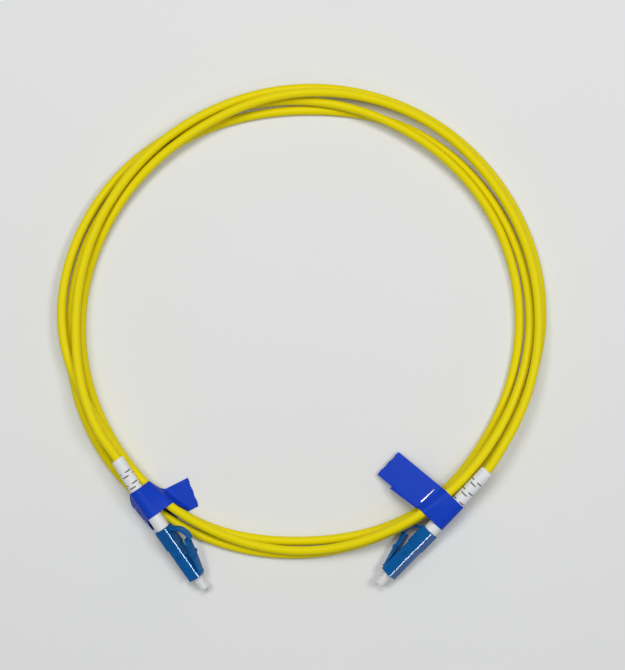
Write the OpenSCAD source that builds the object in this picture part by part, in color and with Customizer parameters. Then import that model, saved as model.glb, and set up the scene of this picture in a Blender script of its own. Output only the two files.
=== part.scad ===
// Fibre optic patch cord: one round cord laid on a table as a ring of nearly four turns, with a small
// latched plug on each end. A strip of tape and a staple hold each plug to the ring.
// X runs across the ring, Y from the plugs to its far side, and Z up from the table at 0.
// Plugs a and b are the same; a lies at the ring's left, b at its right.

/* [Cord] */
// Outer diameter of the cord
cord_d = 3.0; // [2.0:0.1:3.0]
// Wall of the jacket
jacket_wall = 0.5; // [0.3:0.05:0.6]
// Diameter of the buffered fibre
buffer_d = 0.9; // [0.6:0.05:0.9]
// Least clear gap between neighbouring turns
turn_gap = 0.4; // [0.4:0.05:0.8]
// Half the ring's width, to the outside turn's centreline
ring_half_x = 83.1; // [70:0.1:100]
// Half the ring's depth, to the outside turn's centreline
ring_half_y = 80.1; // [70:0.1:100]
// Height of the cord's centreline where it lies on the table
rest_z = 1.2; // [1.0:0.05:1.3]

/* [Plug] */
// Width across the nose of the plug
nose_w = 4.5; // [4.4:0.01:4.6]
// Width across the rear housing
rear_w = 4.9; // [4.85:0.05:5.4]
// Length of the rear housing
rear_len = 7.4; // [6:0.1:9]
// Length of the front housing
nose_len = 13.0; // [12:0.1:15]
// Diameter of the ferrule
ferrule_d = 1.25; // [1.249:0.001:1.25]
// How far the ferrule stands out of the front housing
ferrule_out = 1.6; // [1.4:0.1:2.0]
// How far the ferrule can be pushed back
float_travel = 1.0; // [0.5:0.1:1.2]
// Length of the boot
boot_len = 28.3; // [20:0.1:35]
// Diameter of the boot at its rear
boot_rear_d = 4.4; // [4:0.1:5]
// Diameter of the boot at the housing
boot_front_d = 5.0; // [4.6:0.1:5.2]
// Diameter of the dust cap
cap_d = 3.3; // [3:0.1:3.6]
// How far the dust cap stands out of the front housing
cap_out = 4.8; // [3:0.1:8]

/* [Tape] */
// Width of the tape
tape_w = 10.6; // [6:0.1:12]
// Thickness of the tape
tape_t = 0.15; // [0.1:0.01:0.2]
// Clear gap left between the tape and what it is wrapped around
tape_gap = 0.25; // [0.2:0.05:0.5]
// Width of a staple
staple_w = 6.2; // [5:0.1:10]

/* [Hidden] */
// The ring's centre, with the whole object centred on the origin
ring_centre_y = 5.5;
ring_centre = [0, ring_centre_y, 0];
pitch = cord_d + turn_gap;
station = 30;
first_bearing = 240;
last_bearing = 1560;
ring_step = 15;

// The cord's place in the ring at every 30 degrees of bearing, clockwise from the far side, starting at
// bearing 240: how many pitches it lies inside the outside turn, and how many it lies above the table
lanes = [
    // 240   270   300   330     0    30    60    90   120   150   180   210
    1.26, 1.89, 1.68, 0.96, 0.30, -0.06, 0.15, 0.42, 1.14, 1.12, 0.26, -0.04,
    0.27, 1.08, 1.43, 2.12, 2.40, 1.70, 1.64, 1.66, 1.84, 1.40, 0.70, 1.10,
    1.65, 0.40, 0.50, 1.10, 1.52, 2.16, 2.52, 2.72, 2.46, 1.50, 1.56, 1.08,
    1.80, 2.27, 2.46, 2.02, 0.88, 0.34, 0.70, 0.89, 0.79, 0.30
];
levels = [
    2.55, 1.60, 1.50, 1.15, 1.05, 0.20, 0.00, 0.00, 0.10, 1.40, 0.20, 0.18,
    0.18, 0.00, 0.00, 0.00, 0.00, 0.00, 0.00, 0.30, 1.30, 2.50, 1.22, 1.20,
    1.20, 1.00, 0.50, 0.10, 0.75, 1.20, 0.60, 0.10, 0.00, 0.20, 0.15, 0.18,
    0.18, 0.00, 0.60, 1.35, 2.00, 1.25, 1.00, 1.20, 2.20, 2.40
];

// The joint between each plug's boot and rear housing: how far outside the ring, and how high
joint_out_a = 3.40;
joint_out_b = 2.05;
joint_z_a = 6.1;
joint_z_b = 6.6;
// Bearing from that joint to the middle of the boot
boot_span = 10;
// Each plug: bearing, distance outside the ring and height of that joint, turn from the run of the ring at
// the middle of the boot, downward tilt, roll, and the side of the ring on which its boot lies
plug_a = [214.0, joint_out_a, joint_z_a, -13.90, 6.4, -60, 1];
plug_b = [148.7, joint_out_b, joint_z_b, 7.18, 5.6, 124, -1];

// Stations along a plug, from the joint between boot and rear housing
run_gap = 0.05;
nose_x = rear_len + nose_len;
spigot_x = rear_len + 4.8;
snap_x = spigot_x - 1;
crimp_end = rear_len + 1.5;
spring_x = crimp_end + run_gap;
chamber_x = spigot_x + 0.2;
chamber_end = nose_x - 3.4;
wall_end = chamber_end + 0.6;
cap_x = wall_end + 0.4;
flange_x = chamber_end - 3.1;
flange_end = chamber_end - run_gap;
ferrule_x = flange_x + 1.6;
neck_x = -3.6;
sleeve_x = -8.0;
sleeve_end = -1.2;
jacket_end = -4.6;
tail_x = -boot_len - cord_d;
boot_step_x = -9.0;

// Radii inside a plug
spigot_r = 1.85;
body_r = 1.45;
collar_r = 1.75;
neck_r = 1.0;
neck_bore_r = 0.55;
sleeve_r = 1.9;
sleeve_bore_r = 1.55;
flange_r = 1.5;
flange_tube_r = 0.8;
ferrule_r = ferrule_d / 2;
cap_bore_r = ferrule_r + run_gap;
nose_bore_r = 1.85;
wall_bore_r = 0.95;
spring_wire = 0.28;
spring_r = 1.15;
spring_turns = 5;
corner = 0.25;
snap_w = 1.0;
window_w = 1.2;
snap_out = 2.1;

// Slits of the boot: one pair of rings of short cuts at each station
slit_x = -23.3;
slit_pitch = 4.4;
slit_shift = 1.4;
slit_count = 4;
slit_w = 0.35;
slit_depth = 0.45;
slit_arc = 75;

// Latch and trigger, seen from the side; their roots turn in shallow grooves
trigger_half = 1.2;
latch_half = 1.4;
rear_top = rear_w / 2;
nose_top = nose_w / 2;
trigger_root = [1.2, rear_top + 0.4];
trigger_root_r = 0.55;
latch_root = [nose_x - 1.1, nose_top + 0.45];
latch_root_r = 0.5;
trigger_side = [
    [0.8, rear_top + 0.12], [2.0, rear_top + 2.8], [2.7, rear_top + 3.7], [3.6, rear_top + 4.4],
    [5.3, rear_top + 5.1], [rear_len - 0.4, rear_top + 5.2], [rear_len + 0.3, rear_top + 4.8],
    [rear_len + 0.5, rear_top + 4], [rear_len - 0.1, rear_top + 3.95], [rear_len - 0.7, rear_top + 4.4],
    [5.4, rear_top + 4.3], [4.1, rear_top + 3.7], [3.3, rear_top + 3.0], [2.6, rear_top + 2.1],
    [1.7, rear_top + 0.12]
];
latch_side = [
    [nose_x - 0.8, nose_top + 0.15], [nose_x - 1.4, nose_top + 0.85], [nose_x - 6.4, nose_top + 2.45],
    [rear_len + 5.2, nose_top + 2.85], [rear_len + 0.6, nose_top + 3.95], [rear_len - 0.7, nose_top + 3.9],
    [rear_len - 0.7, nose_top + 3.1], [rear_len + 0.6, nose_top + 2.85], [rear_len + 5, nose_top + 1.7],
    [nose_x - 1.8, nose_top + 0.2]
];
lug_side = [
    [rear_len + 4.3, nose_top + 2.0], [rear_len + 5.0, nose_top + 1.85], [rear_len + 5.6, nose_top + 1.95],
    [rear_len + 5.6, nose_top + 2.7], [rear_len + 4.7, nose_top + 2.9], [rear_len + 4.3, nose_top + 2.9]
];

// Staples
wire_w = 0.5;
wire_t = 0.35;

$fn = 48;

yellow = [0.86, 0.80, 0.03];
blue = [0.06, 0.33, 0.60];
white = [0.93, 0.93, 0.91];
tape_blue = [0.10, 0.23, 0.80];
metal = [0.75, 0.75, 0.76];
gold = [0.80, 0.68, 0.20];

// ---- where things lie ----

function unit(v) = v / norm(v);

// Curve through every value of a table, at fraction s of its steps
function spline(v, s) =
    let (n = len(v) - 1, i = min(floor(s), n - 1), u = s - i,
         a = v[max(i - 1, 0)], b = v[i], c = v[i + 1], d = v[min(i + 2, n)])
    b + 0.5 * u * (c - a + u * (2 * a - 5 * b + 4 * c - d + u * (3 * (b - c) + d - a)));

function ring_r(t) = 1 / sqrt(pow(sin(t) / ring_half_x, 2) + pow(cos(t) / ring_half_y, 2));

function coil_point(t) =
    let (s = (t - first_bearing) / station, r = ring_r(t) - pitch * spline(lanes, s))
    ring_centre + [r * sin(t), r * cos(t), rest_z + pitch * max(0, spline(levels, s))];

function plug_seat(p) =
    let (r = ring_r(p[0]) + p[1]) ring_centre + [r * sin(p[0]), r * cos(p[0]), p[2]];
// Way out of the ring at bearing t, and a plug's heading, both turned from X towards Y
function ring_normal(t) = atan2(cos(t) / pow(ring_half_y, 2), sin(t) / pow(ring_half_x, 2));
function heading(p) = ring_normal(p[0] + p[6] * boot_span) + p[6] * 90 + p[3];
function plug_dir(p) = [cos(p[4]) * cos(heading(p)), cos(p[4]) * sin(heading(p)), -sin(p[4])];
function on_axis(p, x) = plug_seat(p) + x * plug_dir(p);

// A point seen from a plug's joint: along its heading, across it and up from the table
function from_plug(p, point) =
    let (d = point - plug_seat(p), h = heading(p)) [
        d[0] * cos(h) + d[1] * sin(h), d[1] * cos(h) - d[0] * sin(h), point[2]
    ];

module at_plug(p, roll = true) translate(plug_seat(p)) rotate([roll ? p[5] : 0, p[4], heading(p)]) children();
module at_table(p) translate([plug_seat(p)[0], plug_seat(p)[1], 0]) rotate([0, 0, heading(p)]) children();

// The cord's centre at bearing t, on the straight line between the rings of its skin
function cord_point(t) =
    let (u = (t - first_bearing) / ring_step, k = floor(u), a = first_bearing + k * ring_step)
    (1 - u + k) * coil_point(a) + (u - k) * coil_point(a + ring_step);

// ---- general shapes ----

// Cylinder along X from a to b
module rod(a, b, r1, r2) translate([a, 0, 0]) rotate([0, 90, 0]) cylinder(h = b - a, r1 = r1, r2 = r2);

// Square bar along X with its four long edges cut off
module bar(a, b, w) translate([a, 0, 0]) rotate([90, 0, 90]) linear_extrude(b - a) polygon([
    for (q = [0 : 3], e = [0, 1])
        let (m = w / 2, n = w / 2 - corner, p = e == 0 ? [m, n] : [n, m])
        [p[0] * cos(90 * q) - p[1] * sin(90 * q), p[0] * sin(90 * q) + p[1] * cos(90 * q)]
]);

// Flat plate with this outline in X and Z, centred across Y
module plate(outline, half) translate([0, half, 0]) rotate([90, 0, 0]) linear_extrude(2 * half) polygon(outline);

// Skin over a list of rings with the same number of points each; a second list makes it hollow
module skin(outer, inner = []) {
    n = len(outer);
    m = len(outer[0]);
    hollow = len(inner) > 0;
    function at(i, k) = i * m + k % m;
    function in(i, k) = n * m + at(i, k);
    sides = [for (i = [0 : n - 2], k = [0 : m - 1])
        each [[at(i, k), at(i + 1, k), at(i + 1, k + 1)], [at(i, k), at(i + 1, k + 1), at(i, k + 1)]]];
    bore = !hollow ? [] : [for (i = [0 : n - 2], k = [0 : m - 1])
        each [[in(i, k), in(i + 1, k + 1), in(i + 1, k)], [in(i, k), in(i, k + 1), in(i + 1, k + 1)]]];
    ends = hollow
        ? [for (k = [0 : m - 1]) each [
            [at(0, k), at(0, k + 1), in(0, k + 1)], [at(0, k), in(0, k + 1), in(0, k)],
            [at(n - 1, k + 1), at(n - 1, k), in(n - 1, k + 1)], [at(n - 1, k), in(n - 1, k), in(n - 1, k + 1)]]]
        : [for (k = [1 : m - 2]) each [
            [at(0, 0), at(0, k), at(0, k + 1)], [at(n - 1, 0), at(n - 1, k + 1), at(n - 1, k)]]];
    polyhedron(points = hollow ? [each each outer, each each inner] : [each each outer],
               faces = [each sides, each bore, each ends]);
}

function way(path, i) =
    let (n = len(path) - 1)
    unit((i == n ? [0, 0, 0] : unit(path[i + 1] - path[i])) + (i == 0 ? [0, 0, 0] : unit(path[i] - path[i - 1])));

// Six points around each point of a path, never below the table
function level_rings(path, r) = [
    for (i = [0 : len(path) - 1])
        let (t = way(path, i), side = unit(cross([0, 0, 1], t)), up = cross(t, side))
        [for (k = [0 : 5]) let (q = path[i] + r[i] * (cos(60 * k) * side + sin(60 * k) * up))
            [q[0], q[1], max(0, q[2])]]
];

// ---- cord ----

coil = [for (t = [first_bearing : ring_step : last_bearing]) coil_point(t)];

// The cord's centreline, with straight ends along the axis of each plug at the stations given
function centreline(stations) = concat(
    [for (x = stations) on_axis(plug_a, x)], coil,
    [for (i = [len(stations) - 1 : -1 : 0]) on_axis(plug_b, stations[i])]);
// One radius for each point of the centreline: those of the ends, and the last of them between
function radii(ends) = concat(
    ends, [for (c = coil) ends[len(ends) - 1]], [for (i = [len(ends) - 1 : -1 : 0]) ends[i]]);

jacket_r = cord_d / 2;
jacket_bore_r = jacket_r - jacket_wall;
yarn_r = jacket_bore_r - 0.07;
yarn_bore_r = buffer_d / 2 + 0.1;
yarn_end_r = sleeve_bore_r - run_gap;
yarn_end_bore_r = neck_r + 0.2;

jacket_line = centreline([jacket_end, tail_x]);
yarn_stations = [sleeve_end - 0.2, neck_x - 0.2, jacket_end + 0.05, tail_x];
fibre_end = flange_x + 0.4;

module cable_jacket() color(yellow) skin(
    level_rings(jacket_line, radii([jacket_r, jacket_r])),
    level_rings(jacket_line, radii([jacket_bore_r, jacket_bore_r])));
module aramid_yarn() color(gold) skin(
    level_rings(centreline(yarn_stations), radii([yarn_end_r, yarn_end_r, yarn_r, yarn_r])),
    level_rings(centreline(yarn_stations), radii([yarn_end_bore_r, yarn_end_bore_r, yarn_bore_r, yarn_bore_r])));
module buffered_fiber() color(white) skin(
    level_rings(centreline([fibre_end, tail_x]), radii([buffer_d / 2, buffer_d / 2])));

// ---- one plug, along X from the joint between boot and rear housing ----

module boot() color(white) difference() {
    rod(-boot_len, 0, boot_rear_d / 2, boot_front_d / 2);
    rod(-boot_len - 1, 1, jacket_r + 0.15, jacket_r + 0.15);
    rod(boot_step_x, 1, sleeve_r + 0.1, sleeve_r + 0.1);
    for (i = [0 : slit_count - 1], k = [0 : 5])
        let (x = slit_x + slit_pitch * i + slit_shift * (k % 2),
             r = (boot_rear_d + (boot_front_d - boot_rear_d) * (boot_len + x) / boot_len) / 2)
        translate([x, 0, 0]) rotate([60 * k + 20 - slit_arc / 2, 0, 0]) rotate([0, 90, 0])
            rotate_extrude(angle = slit_arc) translate([r - slit_depth, 0]) square([1, slit_w]);
}

module crimp_sleeve() color(metal) difference() {
    rod(sleeve_x, sleeve_end, sleeve_r, sleeve_r);
    rod(sleeve_x - 1, sleeve_end + 1, sleeve_bore_r, sleeve_bore_r);
}

module crimp_body() color(metal) difference() {
    union() {
        rod(neck_x, crimp_end, neck_r, neck_r);
        rod(run_gap, 1.9, collar_r, collar_r);
        rod(1.5, crimp_end, body_r, body_r);
    }
    rod(neck_x - 1, crimp_end + 1, neck_bore_r, neck_bore_r);
}

module groove(root, r, half) translate([root[0], half, root[1]]) rotate([90, 0, 0])
    cylinder(h = 2 * half, r = r + run_gap);

module rear_housing() color(blue) difference() {
    union() {
        bar(0, rear_len, rear_w);
        rod(rear_len - 1, spigot_x, spigot_r, spigot_r);
        for (s = [-1, 1])
            translate([snap_x - snap_w / 2, s > 0 ? body_r : -snap_out, -snap_w / 2])
                cube([snap_w, snap_out - body_r, snap_w]);
    }
    rod(-1, 2, collar_r + run_gap, collar_r + run_gap);
    rod(1.9, spigot_x + 1, body_r + run_gap, body_r + run_gap);
    groove(trigger_root, trigger_root_r, trigger_half + 0.1);
}

module front_housing() color(blue) difference() {
    bar(rear_len, nose_x, nose_w);
    rod(rear_len - 1, chamber_x, spigot_r + run_gap, spigot_r + run_gap);
    rod(chamber_x - 0.1, chamber_end, flange_r + run_gap, flange_r + run_gap);
    rod(chamber_end - 0.1, wall_end + 0.1, wall_bore_r, wall_bore_r);
    rod(wall_end, nose_x + 1, nose_bore_r, nose_bore_r);
    translate([snap_x - window_w / 2, -nose_w, -window_w / 2]) cube([window_w, 2 * nose_w, window_w]);
    groove(latch_root, latch_root_r, latch_half + 0.1);
}

module trigger() color(blue) {
    plate(trigger_side, trigger_half);
    translate([trigger_root[0], trigger_half, trigger_root[1]]) rotate([90, 0, 0])
        cylinder(h = 2 * trigger_half, r = trigger_root_r);
}

module latch() color(blue) {
    plate(latch_side, latch_half);
    plate(lug_side, nose_w / 2);
    translate([latch_root[0], latch_half, latch_root[1]]) rotate([90, 0, 0])
        cylinder(h = 2 * latch_half, r = latch_root_r);
}

spring_len = flange_x - spring_x - run_gap;
module ferrule_spring() color(metal) {
    steps = 8 * spring_turns;
    helix = [for (i = [0 : steps])
        [spring_x + spring_wire / 2 + (spring_len - spring_wire) * i / steps,
         spring_r * cos(45 * i), spring_r * sin(45 * i)]];
    skin([for (i = [0 : steps])
        let (t = way(helix, i), out = [0, cos(45 * i), sin(45 * i)], side = unit(out - (out * t) * t), up = cross(t, side))
        [for (k = [0 : 5]) helix[i] + spring_wire / 2 * (cos(60 * k) * side + sin(60 * k) * up)]]);
}

module ferrule_flange() color(metal) difference() {
    union() {
        rod(chamber_x, flange_end, flange_tube_r, flange_tube_r);
        rod(flange_x, flange_end, flange_r, flange_r);
    }
    rod(chamber_x - 1, ferrule_x, 0.5, 0.5);
    rod(ferrule_x - 0.1, flange_end + 1, ferrule_r + 0.005, ferrule_r + 0.005);
}

module ferrule() color(white) difference() {
    rod(ferrule_x, nose_x + ferrule_out, ferrule_r, ferrule_r);
    rod(ferrule_x - 1, nose_x + ferrule_out + 1, 0.0625, 0.0625);
}

module dust_cap() color([0.95, 0.95, 0.94, 0.8]) difference() {
    rod(cap_x, nose_x + cap_out, cap_d / 2, cap_d / 2);
    rod(cap_x - 1, nose_x + ferrule_out + 0.3, cap_bore_r, cap_bore_r);
}

// ---- tapes and staples ----

// Strip between two edges given as lists of points, with the tape's thickness
module strip(edge_a, edge_b) skin([
    for (i = [0 : len(edge_a) - 1])
        let (w = unit(edge_b[i] - edge_a[i]), n = unit(cross(way([for (k = [0 : len(edge_a) - 1])
                 (edge_a[k] + edge_b[k]) / 2], i), w)) * tape_t / 2)
        [edge_b[i] + n, edge_a[i] + n, edge_a[i] - n, edge_b[i] - n]
]);

function arc(x, c, r, from, to, n) = [for (i = [0 : n])
    let (a = from + (to - from) * i / n) [x, c[0] + r * cos(a), c[1] + r * sin(a)]];

// Rear edge of each tape over its boot, and the turn of the coil that it holds against the boot
tape_a_x = -15.8;
tape_b_x = -13.6;
held_turn = 2;
// Ends of tape a's flag; the far end of tape b's flag, its height there and the slant of its ends
flag_a = [[-9.3, 15.9], [0.8, 13.6]];
flag_b_y = 25.7;
flag_b_z = 1.7;
flag_b_skew = 1.6;
// Turn of tape b's staple from straight across the tape
staple_b_turn = 5;

under_z = 0.03 + tape_t / 2;
over_z = under_z + tape_t + 0.03;
wrap_gap = tape_gap + tape_t / 2;
function boot_r(x) = (boot_rear_d + (boot_front_d - boot_rear_d) * (boot_len + x) / boot_len) / 2;
function boot_z(p, x) = plug_seat(p)[2] - x * tan(p[4]);
// Where the held turn of the cord passes station x of a plug, seen from the plug: found by halving a range of
// bearings counted from the plug toward its boot
function held_cord(p, x, low = -5, high = 25, halvings = 16) =
    let (mid = (low + high) / 2, q = from_plug(p, cord_point(p[0] + 360 * held_turn + p[6] * mid)))
    halvings == 0 ? q
    : q[0] > x ? held_cord(p, x, mid, high, halvings - 1)
    : held_cord(p, x, low, mid, halvings - 1);
// Angle at which a tape leaves the circle rb round b and meets the circle rq round q, both seen along a boot
function taut_angle(b, rb, q, rq) = atan2(q[1] - b[1], q[0] - b[0]) + acos((rb - rq) / norm(q - b));

// One edge of tape a: flag on the table, slanting under the ring, up the left of the boot, over boot and cord,
// then slanting down the cord and out over the flag. x is the edge's station over the boot.
function edge_a(x, flag) =
    let (b = [0, boot_z(plug_a, x)], q = held_cord(plug_a, x), rb = boot_r(x) + wrap_gap,
         rq = cord_d / 2 + wrap_gap, leave = taut_angle(b, rb, [q[1], q[2]], rq),
         fold = -5.2 + 0.123 * (x - tape_a_x), side = [for (d = [2.2, 4.4, 5.4]) held_cord(plug_a, x + d)[1] + rq])
    concat(
        [[flag[0], flag[1], under_z], [x + 4.2, fold + 0.3, under_z], [x + 4.0, fold, 0.6],
         [x + 2.0, (fold - rb) / 2 - 0.35, 0.5 * b[1]]],
        arc(x, b, rb, 180, leave, 6),
        arc(x - 0.1, [q[1], q[2]], rq, leave, 12, 4),
        [[x + 2.2, side[0] + 0.15, 3.7], [x + 4.4, side[1] + 0.5, 1.4], [x + 5.4, side[2] + 1.2, over_z],
         [flag[0], flag[1] - 0.4, over_z]]);

// One edge of tape b: flag sloping down from the cord, first layer down beside the ring, under it, up the right
// of the boot, over boot and cord and out above the first layer beyond its end
function edge_b(x) =
    let (b = [0, boot_z(plug_b, x)], q = held_cord(plug_b, x), y = -q[1], z = q[2], rb = boot_r(x) + wrap_gap,
         rq = cord_d / 2 + wrap_gap, leave = taut_angle(b, rb, [y, z], rq), mouth = [y + 2.5, z - 0.6],
         drop = (mouth[1] - flag_b_z) / (flag_b_y - mouth[0]), below = tape_t + 0.07)
    [for (p = concat(
        [[x + flag_b_skew + 0.4, 19.5, flag_b_z + drop * (flag_b_y - 19.5) - below],
         [x + 0.6, y + 2.9, mouth[1] - 0.4 * drop - below], [x + 0.5, y + 2.35, z - 1.4],
         [x + 0.4, y + 2.1, z - 2.4], [x + 0.4, y + 2.2, 4], [x + 0.4, y + 2.45, 2.6], [x + 0.4, y + 2.35, 0.9],
         [x + 0.3, y + 2.0, under_z], [x, -2.2, under_z], [x, -rb + 0.05, 0.6]],
        arc(x, b, rb, 180, leave, 4),
        arc(x, [y, z], rq, leave, taut_angle([y, z], rq, mouth, 0), 4),
        [[x + 0.1, mouth[0], mouth[1]], [x + flag_b_skew, flag_b_y, flag_b_z]])) [p[0], -p[1], p[2]]];

function edges_a() = [edge_a(tape_a_x, flag_a[0]), edge_a(tape_a_x + tape_w, flag_a[1])];
function edges_b() = [edge_b(tape_b_x + tape_w), edge_b(tape_b_x)];
module tape_a() color(tape_blue) at_table(plug_a) strip(edges_a()[0], edges_a()[1]);
module tape_b() color(tape_blue) at_table(plug_b) strip(edges_b()[0], edges_b()[1]);

// Crown along X at z = 0, legs down by depth, ends turned in under it
module staple(depth) color(metal) {
    translate([-staple_w / 2, -wire_w / 2, 0]) cube([staple_w, wire_w, wire_t]);
    for (s = [-1, 1]) {
        translate([s > 0 ? staple_w / 2 - wire_t : -staple_w / 2, -wire_w / 2, -depth])
            cube([wire_t, wire_w, depth + wire_t]);
        translate([s > 0 ? staple_w / 2 - 2.2 : -staple_w / 2, -wire_w / 2, -depth - wire_t])
            cube([2.2, wire_w, wire_t]);
    }
}
// On the outer face of a strip, across it, this share of the way from row i of its edges to the next
module on_strip(edges, i, share) {
    a = edges[0][i] + share * (edges[0][i + 1] - edges[0][i]);
    b = edges[1][i] + share * (edges[1][i + 1] - edges[1][i]);
    w = unit(b - a);
    out = unit(cross(w, edges[0][i + 1] + edges[1][i + 1] - edges[0][i] - edges[1][i]));
    v = cross(out, w);
    p = (a + b) / 2 + out * (tape_t / 2 + 0.02);
    multmatrix([for (k = [0 : 2]) [w[k], v[k], out[k], p[k]]]) children();
}
module staple_a() at_table(plug_a) on_strip(edges_a(), 2, 0.6) staple(tape_t + 0.1);
module staple_b() at_table(plug_b) on_strip(edges_b(), len(edges_b()[0]) - 2, 0.03)
    rotate([0, 0, staple_b_turn]) staple(tape_t * 2 + 0.15);

// ---- the two plugs ----

module boot_a() at_plug(plug_a, false) boot();
module crimp_sleeve_a() at_plug(plug_a) crimp_sleeve();
module crimp_body_a() at_plug(plug_a) crimp_body();
module rear_housing_a() at_plug(plug_a) rear_housing();
module front_housing_a() at_plug(plug_a) front_housing();
module trigger_a() at_plug(plug_a) trigger();
module latch_a() at_plug(plug_a) latch();
module ferrule_spring_a() at_plug(plug_a) ferrule_spring();
module ferrule_flange_a() at_plug(plug_a) ferrule_flange();
module ferrule_a() at_plug(plug_a) ferrule();
module dust_cap_a() at_plug(plug_a) dust_cap();

module boot_b() at_plug(plug_b, false) boot();
module crimp_sleeve_b() at_plug(plug_b) crimp_sleeve();
module crimp_body_b() at_plug(plug_b) crimp_body();
module rear_housing_b() at_plug(plug_b) rear_housing();
module front_housing_b() at_plug(plug_b) front_housing();
module trigger_b() at_plug(plug_b) trigger();
module latch_b() at_plug(plug_b) latch();
module ferrule_spring_b() at_plug(plug_b) ferrule_spring();
module ferrule_flange_b() at_plug(plug_b) ferrule_flange();
module ferrule_b() at_plug(plug_b) ferrule();
module dust_cap_b() at_plug(plug_b) dust_cap();

// Least clear gap between two parts of the coil that are at least half a turn apart, on the points
gaps = [for (i = [0 : len(coil) - 1], k = [i + 12 : 1 : len(coil) - 2])
    let (a = coil[k], w = coil[k + 1] - a, u = max(0, min(1, ((coil[i] - a) * w) / (w * w))))
    norm(coil[i] - a - u * w)];
echo(least_turn_gap = min(gaps) - cord_d);
echo(coil_length = norm(on_axis(plug_a, tail_x) - coil[0]) + norm(on_axis(plug_b, tail_x) - coil[len(coil) - 1])
    + [for (i = 0, s = 0; i < len(coil); s = s + (i < len(coil) - 1 ? norm(coil[i + 1] - coil[i]) : 0), i = i + 1) s]
        [len(coil) - 1]);

cable_jacket();
aramid_yarn();
buffered_fiber();
boot_a();
crimp_sleeve_a();
crimp_body_a();
rear_housing_a();
front_housing_a();
trigger_a();
latch_a();
ferrule_spring_a();
ferrule_flange_a();
ferrule_a();
dust_cap_a();
tape_a();
staple_a();
boot_b();
crimp_sleeve_b();
crimp_body_b();
rear_housing_b();
front_housing_b();
trigger_b();
latch_b();
ferrule_spring_b();
ferrule_flange_b();
ferrule_b();
dust_cap_b();
tape_b();
staple_b();
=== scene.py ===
import bmesh
import bpy
import numpy as np
from mathutils import Matrix, Vector


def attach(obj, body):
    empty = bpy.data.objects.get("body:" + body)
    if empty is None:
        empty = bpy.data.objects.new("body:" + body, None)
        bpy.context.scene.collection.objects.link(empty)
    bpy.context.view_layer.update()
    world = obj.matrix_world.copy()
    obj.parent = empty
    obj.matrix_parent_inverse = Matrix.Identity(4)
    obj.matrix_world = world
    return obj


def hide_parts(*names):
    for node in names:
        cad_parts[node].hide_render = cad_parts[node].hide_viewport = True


# A fibre optic patch cord laid in a ring on a table. The camera and the cord come first, then the plugs, the
# tapes with their staples, and the stage.
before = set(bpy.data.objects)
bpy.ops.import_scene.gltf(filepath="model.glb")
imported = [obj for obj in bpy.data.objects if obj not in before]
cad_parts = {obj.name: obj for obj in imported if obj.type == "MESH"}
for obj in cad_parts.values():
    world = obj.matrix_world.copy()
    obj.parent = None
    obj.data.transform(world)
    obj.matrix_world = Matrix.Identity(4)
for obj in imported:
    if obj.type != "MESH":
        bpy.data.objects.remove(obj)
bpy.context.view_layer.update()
scene = bpy.context.scene
scene.view_settings.view_transform = "Standard"
mm = 0.001
weld = 0.0001 * mm  # points nearer than this are one
rootBody = "cord_set"
print("stage: frame loaded,", len(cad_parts), "nodes")

camera = {
    "over": (3.4 * mm, 0.9 * mm),  # point of the table under the lens
    "height": 600 * mm,
    "focusUp": 3 * mm,  # height of the plane on which the picture's length is measured
    "pictureLength": 227.8 * mm,
    "sensor": 36.0,
    "nearest": 0.01,
}


# A lens straight above the table; its focal length fits the picture's length at the height of focus
def makeCamera():
    data = bpy.data.cameras.new("lens")
    data.sensor_width = camera["sensor"]
    data.lens = camera["sensor"] * (camera["height"] - camera["focusUp"]) / camera["pictureLength"]
    data.clip_start = camera["nearest"]
    eye = bpy.data.objects.new("lens", data)
    eye.location = (*camera["over"], camera["height"])
    scene.collection.objects.link(eye)
    scene.camera = eye


makeCamera()

cord = {
    "diameter": 3.0 * mm,
    "wall": 0.5 * mm,
    "buffer": 0.9 * mm,
    "turnGap": 0.4 * mm,
    "ringHalf": (83.1 * mm, 80.1 * mm),
    "ringCentre": (0.0, 5.5 * mm),
    "restHeight": 1.2 * mm,
    "firstBearing": 240.0,
    "lastBearing": 1560.0,
    "station": 30.0,
    "jacketEnd": -4.6 * mm,  # along a plug, from the joint between its boot and rear housing
    "tail": -31.3 * mm,
    "fineBearing": 1.0,
    "step": 1.6 * mm,
    "sides": 24,
    "easing": 2.4 * mm,
    "length": 1.85,  # along the centreline, from plug to plug
}
pitch = cord["diameter"] + cord["turnGap"]

# The cord's place in the ring at every 30 degrees of bearing, clockwise from the far side, starting at
# bearing 240: how many pitches it lies inside the outside turn, and how many it lies above the table
lanes = [
    1.26, 1.89, 1.68, 0.96, 0.30, -0.06, 0.15, 0.42, 1.14, 1.12, 0.26, -0.04,
    0.27, 1.08, 1.43, 2.12, 2.40, 1.70, 1.64, 1.66, 1.84, 1.40, 0.70, 1.10,
    1.65, 0.40, 0.50, 1.10, 1.52, 2.16, 2.52, 2.72, 2.46, 1.50, 1.56, 1.08,
    1.80, 2.27, 2.46, 2.02, 0.88, 0.34, 0.70, 0.89, 0.79, 0.30,
]
levels = [
    2.55, 1.60, 1.50, 1.15, 1.05, 0.20, 0.00, 0.00, 0.10, 1.40, 0.20, 0.18,
    0.18, 0.00, 0.00, 0.00, 0.00, 0.00, 0.00, 0.30, 1.30, 2.50, 1.22, 1.20,
    1.20, 1.00, 0.50, 0.10, 0.75, 1.20, 0.60, 0.10, 0.00, 0.20, 0.15, 0.18,
    0.18, 0.00, 0.60, 1.35, 2.00, 1.25, 1.00, 1.20, 2.20, 2.40,
]

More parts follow.
